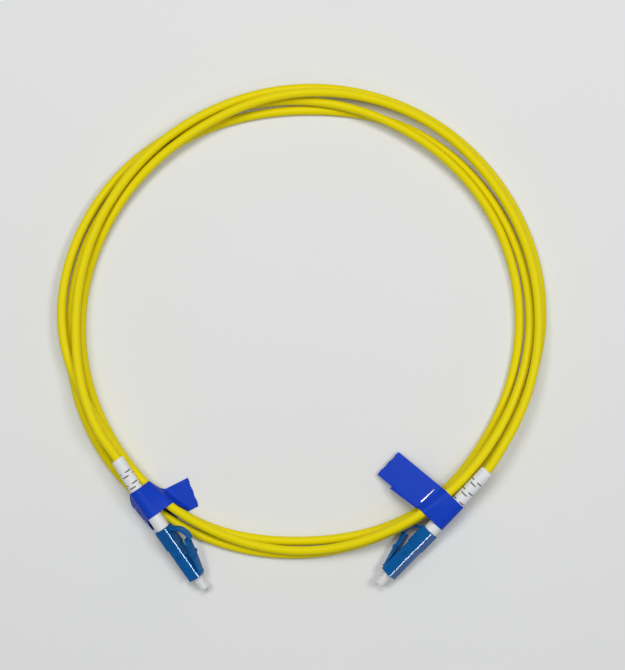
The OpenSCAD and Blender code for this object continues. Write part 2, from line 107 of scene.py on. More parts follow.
# Each plug: bearing of the joint between boot and rear housing, its distance outside the ring and its height,
# turn from the run of the ring at the middle of the boot, downward tilt, roll, and side of the ring
plugs = {
    "a": {
        "bearing": 214.0, "out": 3.40 * mm, "up": 6.1 * mm,
        "lean": -13.90, "tilt": 6.4, "roll": -60, "side": 1,
    },
    "b": {
        "bearing": 148.7, "out": 2.05 * mm, "up": 6.6 * mm,
        "lean": 7.18, "tilt": 5.6, "roll": 124, "side": -1,
    },
}
bootSpan = 10.0  # bearing from that joint to the middle of the boot

boot = {
    "length": 28.3 * mm,
    "rear": 2.2 * mm,  # radii
    "front": 2.5 * mm,
    "bore": 1.65 * mm,
    "sleeveBore": 2.0 * mm,
    "step": -9.0 * mm,
    "frontEdge": 0.3 * mm,
    "rearEdge": 0.9 * mm,
    "leastWall": 0.05 * mm,
    "rimStations": (0, 0.01 * mm, 0.025 * mm),  # from the rear end, ahead of the evenly spaced ones
    "firstEven": 0.05 * mm,
    "station": 0.07 * mm,
    "sides": 120,
    "slits": 4,
    "slitRows": 6,  # round the boot; every other row lies further forward by the shift
    "slitTurn": 20.0,
    "slitStart": -23.3 * mm,
    "slitPitch": 4.4 * mm,
    "slitShift": 1.4 * mm,
    "slitWidth": 0.36 * mm,
    "slitDepth": 0.5 * mm,
    "slitArc": 75.0,
    "slitEdge": 0.12 * mm,  # how softly a slit starts and stops, along the boot and round it
    "slitArcEdge": 4.0,
    "bend": {"a": 0.75 * mm, "b": 0.35 * mm},  # how far each boot's rear end leans toward the ring
}


# Vectors divided by their own lengths
def unit(vectors):
    return vectors / np.linalg.norm(vectors, axis=-1, keepdims=True)


# Catmull-Rom curve through every value of a table, at fraction s of its steps
def throughValues(values, s):
    table = np.array(values)
    last = len(table) - 1
    i = np.clip(np.floor(s).astype(int), 0, last - 1)
    u = s - i
    a, b, c, d = table[np.maximum(i - 1, 0)], table[i], table[i + 1], table[np.minimum(i + 2, last)]
    return b + 0.5 * u * (c - a + u * (2 * a - 5 * b + 4 * c - d + u * (3 * (b - c) + d - a)))


# Distance from the ring's centre to its outside turn, an ellipse, at a bearing
def ringRadius(bearing):
    t = np.radians(bearing)
    return 1 / np.hypot(np.sin(t) / cord["ringHalf"][0], np.cos(t) / cord["ringHalf"][1])


# Centre of the cord at a bearing: in from the ellipse by the lane's pitches, up by the level's pitches
def coilPoint(bearing):
    bearing = np.asarray(bearing, float)
    s = (bearing - cord["firstBearing"]) / cord["station"]
    radius = ringRadius(bearing) - pitch * throughValues(lanes, s)
    t = np.radians(bearing)
    height = cord["restHeight"] + pitch * np.maximum(0, throughValues(levels, s))
    east, north = cord["ringCentre"]
    return np.stack([east + radius * np.sin(t), north + radius * np.cos(t), height], -1)


# A plug's joint as a point, and the turn of its axes: roll about X, then tilt about Y, then heading about Z
def plugAxes(letter, rolled=True):
    plug = plugs[letter]
    t = np.radians(plug["bearing"])
    reach = ringRadius(plug["bearing"]) + plug["out"]
    east, north = cord["ringCentre"]
    seat = np.array([east + reach * np.sin(t), north + reach * np.cos(t), plug["up"]])
    middle = np.radians(plug["bearing"] + plug["side"] * bootSpan)
    halfX, halfY = cord["ringHalf"]
    outward = np.arctan2(np.cos(middle) / halfY ** 2, np.sin(middle) / halfX ** 2)
    heading = outward + np.radians(plug["side"] * 90 + plug["lean"])
    tilt, roll = np.radians(plug["tilt"]), np.radians(plug["roll"] if rolled else 0)
    (cosX, sinX), (cosY, sinY), (cosZ, sinZ) = [(np.cos(a), np.sin(a)) for a in (roll, tilt, heading)]
    aboutX = np.array([[1, 0, 0], [0, cosX, -sinX], [0, sinX, cosX]])
    aboutY = np.array([[cosY, 0, sinY], [0, 1, 0], [-sinY, 0, cosY]])
    aboutZ = np.array([[cosZ, -sinZ, 0], [sinZ, cosZ, 0], [0, 0, 1]])
    return seat, aboutZ @ aboutY @ aboutX, aboutZ


# Points given along a plug's own axes, moved to where the plug lies
def onPlug(letter, points, rolled=True):
    seat, turn, _ = plugAxes(letter, rolled)
    return seat + np.asarray(points, float) @ turn.T


# Points of a boot and of the cord in it lean sideways toward the ring by the square of their distance
# behind the joint
def bent(letter, points):
    seat, _, heading = plugAxes(letter)
    behind = np.clip(-((points - seat) @ heading)[..., :1], 0, None) / boot["length"]
    toward = heading[:, 1] * plugs[letter]["side"]
    return points + boot["bend"][letter] * behind ** 2 * toward


# Points of a plug's axis at distances from its joint, with the boot's lean
def alongPlug(letter, x):
    x = np.atleast_1d(x)
    return bent(letter, onPlug(letter, np.stack([x, 0 * x, 0 * x], -1)))


# Distance run along a line at each of its points
def runAlong(line):
    return np.concatenate([[0], np.cumsum(np.linalg.norm(np.diff(line, axis=0), axis=1))])


# Weights of a bell-shaped running average over points a step apart, and how many points it reaches each way
def bellWeights(step, easing):
    reach = int(3 * easing / step)
    bell = np.exp(-0.5 * (np.arange(-reach, reach + 1) * step / easing) ** 2)
    return bell / bell.sum(), reach


# Points spaced evenly along a line, then eased by the bell's running average, which keeps both ends
def easedLine(points, step, easing):
    run = runAlong(points)
    even = np.linspace(0, run[-1], int(run[-1] / step) + 1)
    line = np.stack([np.interp(even, run, points[:, k]) for k in range(3)], -1)
    bell, reach = bellWeights(step, easing)
    padded = np.concatenate([2 * line[0] - line[reach:0:-1], line, 2 * line[-1] - line[-2:-reach - 2:-1]])
    return np.stack([np.convolve(padded[:, k], bell, "valid") for k in range(3)], -1)


# The cord's centreline between two stations of the plugs: straight in each boot, round the ring between
def cordLine(start, end, step, easing):
    fine = np.arange(cord["firstBearing"], cord["lastBearing"] + cord["fineBearing"] / 2, cord["fineBearing"])
    points = np.concatenate([
        alongPlug("a", np.arange(start, cord["tail"], -step)), coilPoint(fine),
        alongPlug("b", np.arange(end, cord["tail"], -step))[::-1],
    ])
    return easedLine(points, step, easing)


# A mesh whose points are a grid: faces join neighbours, its columns close on themselves, and its rows may.
# Its two end rows may be capped by one face each, or have each point of one half joined to its opposite in
# the other half. Then doubles merge and all faces are turned outwards.
def gridPiece(name, grid, closedU=False, uv=None, capped=False, paired=False):
    nu, nv = grid.shape[:2]
    i, j = np.meshgrid(np.arange(nu if closedU else nu - 1), np.arange(nv), indexing="ij")
    i, j = i.ravel(), j.ravel()
    i2, j2 = (i + 1) % nu, (j + 1) % nv
    faces = np.stack([i * nv + j, i2 * nv + j, i2 * nv + j2, i * nv + j2], -1).tolist()
    if capped:
        faces += [list(range(nv)), list(range((nu - 1) * nv, nu * nv))]
    if paired:
        k = np.arange(nv // 2 - 1)
        across = np.stack([k, k + 1, nv - 2 - k, nv - 1 - k], -1)
        faces += np.concatenate([across, across + (nu - 1) * nv]).tolist()
    mesh = bpy.data.meshes.new(name)
    mesh.from_pydata(grid.reshape(-1, 3).tolist(), [], faces)
    layer = mesh.uv_layers.new(name="UVMap")
    if uv is not None:
        u, v = uv
        corners = np.stack([
            np.stack([u[i], v[j]], -1), np.stack([u[i + 1], v[j]], -1),
            np.stack([u[i + 1], v[j + 1]], -1), np.stack([u[i], v[j + 1]], -1)], 1)
        values = np.zeros((len(mesh.loops), 2), np.float32)
        values[: len(i) * 4] = corners.reshape(-1, 2)
        layer.data.foreach_set("uv", values.ravel())
    work = bmesh.new()
    work.from_mesh(mesh)
    bmesh.ops.remove_doubles(work, verts=work.verts, dist=weld)
    bmesh.ops.recalc_face_normals(work, faces=work.faces)
    work.to_mesh(mesh)
    work.free()
    mesh.polygons.foreach_set("use_smooth", np.ones(len(mesh.polygons), bool))
    piece = bpy.data.objects.new(name, mesh)
    scene.collection.objects.link(piece)
    return piece


# Gives a piece its material and body, and hides the CAD nodes that it stands for. Its slot is not used.
def dress(piece, body, slot, material, *nodes):
    piece.data.materials.append(material)
    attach(piece, body)
    if nodes:
        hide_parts(*nodes)
    return piece


# Circles round each point of a line, square to it, none lower than the table
def ringsRound(line, radius, sides):
    along = unit(np.gradient(line, axis=0))
    side = unit(np.cross([0, 0, 1.0], along))
    up = np.cross(along, side)
    turn = np.linspace(0, 2 * np.pi, sides, endpoint=False)
    radius = np.broadcast_to(radius, len(line))[:, None, None]
    ring = np.cos(turn)[None, :, None] * side[:, None, :] + np.sin(turn)[None, :, None] * up[:, None, :]
    rings = line[:, None, :] + radius * ring
    rings[..., 2] = np.maximum(rings[..., 2], 0)
    return rings


# A tube with a wall: its outer circles one way along the line and its inner circles back
def tubePiece(name, line, outer, inner, sides):
    grid = np.concatenate([ringsRound(line, outer, sides), ringsRound(line, inner, sides)[::-1]])
    run = runAlong(line)
    u = np.concatenate([run, run[::-1], [0]])
    return gridPiece(name, grid, closedU=True, uv=(u, np.linspace(0, 1, sides + 1)))


# A shader node with its values set by socket name, or by property where it has no such socket
def addNode(tree, kind, **values):
    node = tree.nodes.new(kind)
    for name, value in values.items():
        if name in node.inputs:
            node.inputs[name].default_value = value
        else:
            setattr(node, name, value)
    return node


# A link between two sockets
def link(tree, source, target):
    tree.links.new(source, target)


# Small unevenness that every moulded, drawn or cut surface here shares: a broad drift of tone, a finer drift
# of roughness, and a grain that dents the surface
def makeSurfaceGroup():
    tree = bpy.data.node_groups.new("surfaceDrift", "ShaderNodeTree")
    for name, kind, value in (
        ("Vector", "NodeSocketVector", None), ("Tone", "NodeSocketColor", (0.5, 0.5, 0.5, 1)),
        ("Dark Tone", "NodeSocketColor", (0.4, 0.4, 0.4, 1)), ("Broad Scale", "NodeSocketFloat", 60.0),
        ("Fine Scale", "NodeSocketFloat", 3000.0), ("Roughness", "NodeSocketFloat", 0.4),
        ("Roughness Drift", "NodeSocketFloat", 0.1), ("Depth", "NodeSocketFloat", 0.00002),
    ):
        socket = tree.interface.new_socket(name=name, in_out="INPUT", socket_type=kind)
        if value is not None:
            socket.default_value = value
    for name, kind in (
        ("Tone", "NodeSocketColor"), ("Roughness", "NodeSocketFloat"), ("Normal", "NodeSocketVector"),
    ):
        tree.interface.new_socket(name=name, in_out="OUTPUT", socket_type=kind)
    given, made = tree.nodes.new("NodeGroupInput"), tree.nodes.new("NodeGroupOutput")
    broad = addNode(tree, "ShaderNodeTexNoise", Detail=4.0)
    fine = addNode(tree, "ShaderNodeTexNoise", Detail=3.0)
    mix = addNode(tree, "ShaderNodeMix", data_type="RGBA")
    drift = addNode(tree, "ShaderNodeMath", operation="MULTIPLY_ADD")
    centred = addNode(tree, "ShaderNodeMath", operation="SUBTRACT")
    centred.inputs[1].default_value = 0.5
    bump = addNode(tree, "ShaderNodeBump", Strength=1.0)
    link(tree, given.outputs["Vector"], broad.inputs["Vector"])
    link(tree, given.outputs["Vector"], fine.inputs["Vector"])
    link(tree, given.outputs["Broad Scale"], broad.inputs["Scale"])
    link(tree, given.outputs["Fine Scale"], fine.inputs["Scale"])
    link(tree, broad.outputs[0], mix.inputs[0])
    link(tree, given.outputs["Tone"], mix.inputs[6])
    link(tree, given.outputs["Dark Tone"], mix.inputs[7])
    link(tree, fine.outputs[0], centred.inputs[0])
    link(tree, centred.outputs[0], drift.inputs[0])
    link(tree, given.outputs["Roughness Drift"], drift.inputs[1])
    link(tree, given.outputs["Roughness"], drift.inputs[2])
    link(tree, given.outputs["Depth"], bump.inputs["Distance"])
    link(tree, fine.outputs[0], bump.inputs["Height"])
    link(tree, mix.outputs[2], made.inputs["Tone"])
    link(tree, drift.outputs[0], made.inputs["Roughness"])
    link(tree, bump.outputs[0], made.inputs["Normal"])
    return tree


surfaceDrift = makeSurfaceGroup()


# A finish: one Principled shader fed by the shared drift, on Object or UV coordinates stretched by a mapping.
# Tones drift between tone and darkTone; shaded names an attribute and the tone that it darkens to, a painted
# shade wherever the attribute is set.
def makeFinish(
    name, tone, darkTone, broad, fine, roughness, drift, depth,
    stretch=(1, 1, 1), byUv=False, shaded=None, **shader
):
    material = bpy.data.materials.new(name)
    material.use_nodes = True
    tree = material.node_tree
    tree.nodes.clear()
    output = tree.nodes.new("ShaderNodeOutputMaterial")
    principled = tree.nodes.new("ShaderNodeBsdfPrincipled")
    for socket, value in shader.items():
        principled.inputs[socket].default_value = value
    place = tree.nodes.new("ShaderNodeTexCoord")
    mapping = addNode(tree, "ShaderNodeMapping", Scale=stretch)
    surface = tree.nodes.new("ShaderNodeGroup")
    surface.node_tree = surfaceDrift
    for socket, value in {
        "Tone": (*tone, 1), "Dark Tone": (*darkTone, 1), "Broad Scale": broad, "Fine Scale": fine,
        "Roughness": roughness, "Roughness Drift": drift, "Depth": depth,
    }.items():
        surface.inputs[socket].default_value = value
    link(tree, place.outputs["UV" if byUv else "Object"], mapping.inputs["Vector"])
    link(tree, mapping.outputs["Vector"], surface.inputs["Vector"])
    # Painted shade: the named attribute mixes the base colour toward the shade tone
    if shaded:
        attribute, paintedShade = shaded
        mask = addNode(tree, "ShaderNodeAttribute", attribute_name=attribute)
        darken = addNode(tree, "ShaderNodeMix", data_type="RGBA")
        darken.inputs[7].default_value = (*paintedShade, 1)
        link(tree, mask.outputs["Fac"], darken.inputs[0])
        link(tree, surface.outputs["Tone"], darken.inputs[6])
        link(tree, darken.outputs[2], principled.inputs["Base Color"])
    else:
        link(tree, surface.outputs["Tone"], principled.inputs["Base Color"])
    link(tree, surface.outputs["Roughness"], principled.inputs["Roughness"])
    link(tree, surface.outputs["Normal"], principled.inputs["Normal"])
    link(tree, principled.outputs["BSDF"], output.inputs["Surface"])
    return material


finishes = {
    "jacket": makeFinish(
        "jacketYellow", tone=(0.81, 0.69, 0.0), darkTone=(0.75, 0.62, 0.0), broad=30.0, fine=26.0,
        roughness=0.40, drift=0.10, depth=0.03 * mm, stretch=(12, 1, 1), byUv=True,
        **{"Specular IOR Level": 0.10}),
    "yarn": makeFinish(
        "aramidGold", tone=(0.75, 0.55, 0.12), darkTone=(0.55, 0.38, 0.06), broad=20.0, fine=60.0,
        roughness=0.6, drift=0.2, depth=0.1 * mm, stretch=(3, 1, 1), byUv=True, **{"Sheen Weight": 0.3}),
    "buffer": makeFinish(
        "bufferWhite", tone=(0.85, 0.85, 0.83), darkTone=(0.78, 0.78, 0.76), broad=400.0, fine=4000.0,
        roughness=0.35, drift=0.1, depth=0.01 * mm),
    # The boot's slits are darkened to a dark brown with painted shade, wherever the slit attribute is set
    "boot": makeFinish(
        "bootWhite", tone=(0.78, 0.80, 0.81), darkTone=(0.72, 0.74, 0.75), broad=300.0, fine=5000.0,
        roughness=0.5, drift=0.15, depth=0.01 * mm, shaded=("slit", (0.10, 0.07, 0.05)),
        **{"Subsurface Weight": 0.15, "Subsurface Radius": (0.002, 0.002, 0.002), "Subsurface Scale": 0.5}),
    "plug": makeFinish(
        "plugBlue", tone=(0.0005, 0.108, 0.37), darkTone=(0.0003, 0.092, 0.32), broad=300.0, fine=6000.0,
        roughness=0.30, drift=0.08, depth=0.01 * mm,
        **{"Specular IOR Level": 0.05, "Coat Weight": 0.4, "Coat Roughness": 0.04}),
    "metal": makeFinish(
        "crimpMetal", tone=(0.72, 0.71, 0.69), darkTone=(0.60, 0.59, 0.57), broad=500.0, fine=5000.0,
        roughness=0.28, drift=0.2, depth=0.01 * mm, **{"Metallic": 1.0}),
    "spring": makeFinish(
        "springSteel", tone=(0.60, 0.60, 0.61), darkTone=(0.48, 0.48, 0.50), broad=500.0, fine=5000.0,
        roughness=0.3, drift=0.15, depth=0.01 * mm, **{"Metallic": 1.0}),
    "ceramic": makeFinish(
        "ferruleCeramic", tone=(0.88, 0.88, 0.87), darkTone=(0.82, 0.82, 0.82), broad=500.0, fine=5000.0,
        roughness=0.12, drift=0.05, depth=0.002 * mm),
    "cap": makeFinish(
        "capWhite", tone=(0.90, 0.91, 0.92), darkTone=(0.84, 0.85, 0.86), broad=300.0, fine=3000.0,
        roughness=0.35, drift=0.1, depth=0.01 * mm,
        **{"Subsurface Weight": 0.4, "Subsurface Radius": (0.003, 0.003, 0.003), "Subsurface Scale": 0.6,
           "Transmission Weight": 0.25}),
    "tape": makeFinish(
        "tapeBlue", tone=(0.004, 0.050, 0.54), darkTone=(0.002, 0.040, 0.46), broad=250.0, fine=2500.0,
        roughness=0.5, drift=0.12, depth=0.02 * mm, **{"Specular IOR Level": 0.15}),
    "staple": makeFinish(
        "stapleWire", tone=(0.90, 0.90, 0.91), darkTone=(0.80, 0.80, 0.82), broad=800.0, fine=6000.0,
        roughness=0.25, drift=0.15, depth=0.01 * mm, **{"Metallic": 1.0}),
}
print("stage: finishes")

jacketLine = cordLine(cord["jacketEnd"], cord["jacketEnd"], cord["step"], cord["easing"])
jacket = tubePiece(
    "roundJacket", jacketLine, cord["diameter"] / 2, cord["diameter"] / 2 - cord["wall"], cord["sides"])
dress(jacket, rootBody, "cord_yellow", finishes["jacket"], "cable_jacket")
print("stage: cord")

core = {
    "yarnRadius": (0.93 * mm, 0.55 * mm),  # outer and inner
    "yarnOverNeck": (1.5 * mm, 1.2 * mm),
    "yarnFront": -1.4 * mm,  # along a plug, from its joint
    "neckEnd": -3.8 * mm,
    "jacketFace": -4.55 * mm,
    "yarnStep": 0.8 * mm,
    "fibreFront": 14.3 * mm,
    "sides": 12,
}


# The yarn's outer and inner radius: wide over a crimp body's neck, then narrowing into the jacket
def yarnRadii(line):
    run = runAlong(line)
    fromEnd = np.minimum(run, run[-1] - run)
    overNeck = core["yarnFront"] - core["neckEnd"]
    blend = np.clip((fromEnd - overNeck) / (core["neckEnd"] - core["jacketFace"]), 0, 1)
    return [wide + (narrow - wide) * blend for wide, narrow in zip(core["yarnOverNeck"], core["yarnRadius"])]


yarnLine = cordLine(core["yarnFront"], core["yarnFront"], core["yarnStep"], cord["easing"])
yarn = tubePiece("yarnSleeve", yarnLine, *yarnRadii(yarnLine), core["sides"])
dress(yarn, rootBody, "yarn", finishes["yarn"], "aramid_yarn")
fibreLine = cordLine(core["fibreFront"], core["fibreFront"], cord["step"], cord["easing"])
fibre = gridPiece("bufferedFibre", ringsRound(fibreLine, cord["buffer"] / 2, core["sides"]), capped=True)
dress(fibre, rootBody, "buffer_white", finishes["buffer"], "buffered_fiber")
print("stage: yarn and fibre")

rounding = {
    "merge": 0.001 * mm,
    "flat": 0.5,  # faces that meet at less than this angle are joined
    "sharp": 30.0,  # edges are sharp above this angle
    "segments": 4,
}


# A copy of a CAD node with its points merged and flat faces joined. Its outer edges are rounded where they
# turn by more than the bluntest given and aren't shorter than the shortest, as the facets round a bore are.
# The other sharp edges stay crisp: the housings' cut edges stay flat and mirror the light in one line.
def roundedCopy(node, name, width, body, slot, material, shortest=0, bluntest=rounding["sharp"]):
    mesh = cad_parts[node].data.copy()
    mesh.name = name
    mesh.materials.clear()
    work = bmesh.new()
    work.from_mesh(mesh)
    bmesh.ops.remove_doubles(work, verts=work.verts, dist=rounding["merge"])
    bmesh.ops.dissolve_limit(
        work, angle_limit=np.radians(rounding["flat"]), verts=work.verts, edges=work.edges)
    weight = work.edges.layers.float.new("bevel_weight_edge")
    for edge in work.edges:
        angle = np.degrees(edge.calc_face_angle(0))
        edge[weight] = float(angle > bluntest and edge.is_convex and edge.calc_length() >= shortest)
        edge.smooth = angle <= rounding["sharp"] or edge[weight] > 0
    work.to_mesh(mesh)
    work.free()
    mesh.polygons.foreach_set("use_smooth", np.ones(len(mesh.polygons), bool))
    piece = bpy.data.objects.new(name, mesh)
    scene.collection.objects.link(piece)
    bevel = piece.modifiers.new("roundedEdges", "BEVEL")
    bevel.width = width
    bevel.segments = rounding["segments"]
    bevel.limit_method = "WEIGHT"
    bevel.harden_normals = True
    return dress(piece, body, slot, material, node)


# A smooth step from 0 to 1 round zero, as wide as its edge
def softStep(values, edge):
    s = np.clip(values / edge + 0.5, 0, 1)
    return s * s * (3 - 2 * s)


# How much an edge of this size takes off at a distance from the end face
def roundedOff(size, distance):
    return size - np.sqrt(np.maximum(size ** 2 - (size - np.clip(distance, 0, size)) ** 2, 0))


# A boot's outside radius at a distance from the joint: it grows evenly from rear to front
def bootRadius(x):
    return boot["front"] + (boot["front"] - boot["rear"]) * x / boot["length"]


# Boot: its outside radius, less what the round rims take off and a groove wherever a slit's length and arc
# both reach; the bore and its wider front part close it inside
def makeBoot(letter):
    rear, sides = -boot["length"], boot["sides"]
    evenX = np.arange(rear + boot["firstEven"], 0, boot["station"])
    x = np.concatenate([rear + np.array(boot["rimStations"]), evenX])
    turn = np.linspace(0, 360, sides, endpoint=False)
    outside = bootRadius(x)
    outside -= np.minimum(roundedOff(boot["rearEdge"], x - rear), outside - boot["bore"] - boot["leastWall"])
    outside -= roundedOff(boot["frontEdge"], -x)
    radius = np.repeat(outside[:, None], sides, 1)
    slit = 0 * radius
    for row in range(boot["slitRows"]):
        facing = 360 / boot["slitRows"] * row + boot["slitTurn"]
        away = np.abs((turn - facing + 180) % 360 - 180)
        across = softStep(boot["slitArc"] / 2 - away, boot["slitArcEdge"])
        first = boot["slitStart"] + boot["slitShift"] * (row % 2) + boot["slitWidth"] / 2
        for i in range(boot["slits"]):
            middle = first + boot["slitPitch"] * i
            lengthways = softStep(boot["slitWidth"] / 2 - np.abs(x - middle), boot["slitEdge"])
            slit += lengthways[:, None] * across[None, :]
    radius -= boot["slitDepth"] * slit
    inside = np.array([
        [0, boot["sleeveBore"]], [boot["step"], boot["sleeveBore"]], [boot["step"], boot["bore"]],
        [rear, boot["bore"]]])
    x = np.concatenate([x, inside[:, 0]])
    radius = np.concatenate([radius, np.repeat(inside[:, 1:], sides, 1)])
    slit = np.concatenate([slit, np.zeros((len(inside), sides))])
    psi = np.radians(turn)
    local = np.stack([np.repeat(x[:, None], sides, 1), radius * np.sin(psi), -radius * np.cos(psi)], -1)
    grid = bent(letter, onPlug(letter, local, rolled=False))
    piece = gridPiece("boot" + letter.upper(), grid, closedU=True)
    # The slits' shares also go into a point attribute that paints shade into the slit grooves
    paintedShade = piece.data.attributes.new("slit", "FLOAT", "POINT")
    paintedShade.data.foreach_set("value", slit.ravel()[: len(piece.data.vertices)].astype(np.float32))
    return dress(piece, rootBody, "boot_white", finishes["boot"], "boot_" + letter)


cap = {
    "start": 18.0 * mm,
    "end": 25.2 * mm,
    "radius": 1.65 * mm,
    "bore": 0.675 * mm,
    "boreEnd": 22.3 * mm,
    "frontEdge": 0.3 * mm,
    "rearEdge": 0.15 * mm,
    "dish": ((0.05 * mm, 0.62), (0.35 * mm, 0.5)),  # each ring's depth, and its share of the radius
    "sides": 64,
}


# A closed profile of (distance along, radius) pairs turned about a plug's axis
def turned(name, letter, profile, sides):
    turn = np.linspace(0, 2 * np.pi, sides, endpoint=False)
    x, radius = np.asarray(profile, float).T
    y, z = radius[:, None] * np.cos(turn), radius[:, None] * np.sin(turn)
    return gridPiece(name, onPlug(letter, np.stack([np.repeat(x[:, None], sides, 1), y, z], -1)))


# Points of a quarter circle of this size, from a start angle down, round a centre at x and radius
def roundCorner(x, radius, size, startAngle, count=7):
    angle = np.radians(np.linspace(startAngle, startAngle - 90, count))
    return np.stack([x + size * np.cos(angle), radius + size * np.sin(angle)], -1)


# Dust cap: a plain sleeve with round rims, a bore for the ferrule and a shallow dish in its closed end
def makeCap(letter):
    frontEdge, rearEdge = cap["frontEdge"], cap["rearEdge"]
    front = roundCorner(cap["end"] - frontEdge, cap["radius"] - frontEdge, frontEdge, 90)
    rear = roundCorner(cap["start"] + rearEdge, cap["radius"] - rearEdge, rearEdge, 180)
    profile = np.concatenate([
        [[cap["boreEnd"], 0], [cap["boreEnd"], cap["bore"]], [cap["start"], cap["bore"]]], rear, front,
        [[cap["end"] - depth, cap["radius"] * share] for depth, share in cap["dish"]],
        [[cap["end"] - cap["dish"][-1][0], 0]],
    ])
    piece = turned("dustCap" + letter.upper(), letter, profile, cap["sides"])
    return dress(piece, "dust_cap_" + letter, "cap_clear", finishes["cap"], "dust_cap_" + letter)


spring = {
    "start": 8.95 * mm,
    "end": 13.85 * mm,
    "wire": 0.28 * mm,
    "radius": 1.15 * mm,
    "turns": 5,
    "steps": 28,  # in a turn
    "sides": 10,
}


# Spring: circles round each point of a helix of even pitch, square to it
def makeSpring(letter):
    s = np.linspace(0, 1, spring["turns"] * spring["steps"] + 1)
    turn = 2 * np.pi * spring["turns"] * s
    first, last = spring["start"] + spring["wire"] / 2, spring["end"] - spring["wire"] / 2
    outward = np.stack([0 * s, np.cos(turn), np.sin(turn)], -1)
    helix = np.stack([first + (last - first) * s, 0 * s, 0 * s], -1) + spring["radius"] * outward
    along = unit(np.gradient(helix, axis=0))
    outward = unit(outward - (outward * along).sum(-1, keepdims=True) * along)
    across = np.cross(along, outward)
    wireTurn = np.linspace(0, 2 * np.pi, spring["sides"], endpoint=False)[:, None]
    circles = np.cos(wireTurn) * outward[:, None] + np.sin(wireTurn) * across[:, None]
    grid = helix[:, None] + spring["wire"] / 2 * circles
    piece = gridPiece("ferruleSpring" + letter.upper(), onPlug(letter, grid), capped=True)
    return dress(piece, rootBody, "spring_steel", finishes["spring"], "ferrule_spring_" + letter)


# The pieces of a plug that are rounded copies of their CAD shape: CAD name, name, width of the rounding,
# shortest and bluntest edge that gets it, body, slot and finish. An empty body is the cord's own.
copiedPieces = (
    ("crimp_sleeve", "crimpSleeve", 0.06 * mm, 0, 30, "", "crimp_metal", "metal"),
    ("crimp_body", "crimpBody", 0.06 * mm, 0, 30, "", "crimp_metal", "metal"),
    ("rear_housing", "rearHousing", 0.06 * mm, 0.9 * mm, 60, "", "plug_blue", "plug"),
    ("front_housing", "frontHousing", 0.06 * mm, 0.9 * mm, 60, "", "plug_blue", "plug"),
    ("trigger", "trigger", 0.2 * mm, 0.3 * mm, 30, "trigger_", "plug_blue", "plug"),
    ("latch", "latch", 0.16 * mm, 0.3 * mm, 30, "latch_", "plug_blue", "plug"),
    ("ferrule_flange", "ferruleFlange", 0.05 * mm, 0, 30, "ferrule_", "crimp_metal", "metal"),
    ("ferrule", "ferrule", 0.05 * mm, 0, 30, "ferrule_", "ceramic", "ceramic"),
)


# One plug: boot, spring and cap worked out here, and the copied pieces
def makePlug(letter):
    pieces = [makeBoot(letter), makeSpring(letter), makeCap(letter)]
    for node, name, width, shortest, bluntest, body, slot, finish in copiedPieces:
        pieces.append(roundedCopy(
            node + "_" + letter, name + letter.upper(), width, body + letter if body else rootBody, slot,
            finishes[finish], shortest, bluntest))
    return pieces


plugPieces = {letter: makePlug(letter) for letter in plugs}
print("stage: plugs")

tape = {
    "width": 10.6 * mm,
    "thickness": 0.15 * mm,
    "gap": 0.12 * mm,  # left between the tape and what it is wrapped round
    "under": 0.105 * mm,  # height of the tape's middle where it lies on the table
    "over": 0.285 * mm,  # and where it lies on its own first layer
    "across": 85,  # points across and along a strip
    "along": 420,
    "easing": 0.28 * mm,
    "teeth": 12,
    "toothDepth": 0.28 * mm,
    "toothReach": 12,  # points over which the teeth fade
    "toothWave": (0.35, 17.0),  # share of the teeth's depth, and how far it turns across the tape
    "heldTurn": 2,  # turn of the coil that each tape holds against its boot
    "heldReach": 40.0,  # bearings on each side of a plug where that turn is looked for
}


# Height of a plug's axis at a distance from its joint
def bootHeight(letter, x):
    return plugs[letter]["up"] - x * np.tan(np.radians(plugs[letter]["tilt"]))


# A point seen from a plug's joint: along its heading, across it, and up from the table
def fromPlug(letter, points):
    seat, _, heading = plugAxes(letter)
    local = (points - seat) @ heading
    return np.concatenate([local[..., :2], points[..., 2:]], -1)


# The way back: points seen from a plug's joint, put where they lie on the table
def atTable(letter, points):
    seat, _, heading = plugAxes(letter)
    return np.array([seat[0], seat[1], 0]) + points @ heading.T


# Where the cord's held turn passes each station over a boot: across the plug, and up
def heldCord(letter, x):
    local = fromPlug(letter, jacketLine)
    turns = unwoundBearing(jacketLine)
    near = np.abs(turns - (plugs[letter]["bearing"] + 360 * tape["heldTurn"])) < tape["heldReach"]
    order = np.argsort(local[near, 0])
    return [np.interp(x, local[near, 0][order], local[near, k][order]) for k in (1, 2)]


# Bearing of each point of the cord, counted on from turn to turn
def unwoundBearing(points):
    east, north = cord["ringCentre"]
    bearing = np.unwrap(np.arctan2(points[:, 0] - east, points[:, 1] - north))
    return np.degrees(bearing) - np.degrees(bearing[0]) + np.degrees(bearing[0]) % 360


# Angle at which a taut tape leaves one circle, of centre b and radius rb, for the next, of centre q and
# radius rq, both seen along a boot: the bearing of q from b, plus the arc cosine of the radii's difference
# over the distance
def tautAngle(b, rb, q, rq):
    away = np.hypot(q[0] - b[0], q[1] - b[1])
    return np.degrees(np.arctan2(q[1] - b[1], q[0] - b[0]) + np.arccos((rb - rq) / away))


# Points of an arc round a centre, at a station: one row for each line across the tape
def arcRow(x, centre, radius, start, stop, count):
    share = np.linspace(0, 1, count)
    angle = np.radians((start + 0 * x)[:, None] * (1 - share) + (stop + 0 * x)[:, None] * share)
    y = centre[0][:, None] + radius[:, None] * np.cos(angle)
    z = centre[1][:, None] + radius[:, None] * np.sin(angle)
    return np.stack([x[:, None] + 0 * angle, y, z], -1)


# One point for each line across the tape
def pointRow(x, y, z):
    x, y, z = np.broadcast_arrays(x, y, z)
    return np.stack([x, y, z], -1)[:, None, :]


# The zigzag of a torn end, at shares across the tape: even teeth, made uneven by a slow wave
def tornEdge(u):
    teeth = np.abs((u * tape["teeth"]) % 1 - 0.5) * 2 - 0.5
    depth, turn = tape["toothWave"]
    return tape["toothDepth"] * (teeth + depth * np.sin(turn * u))


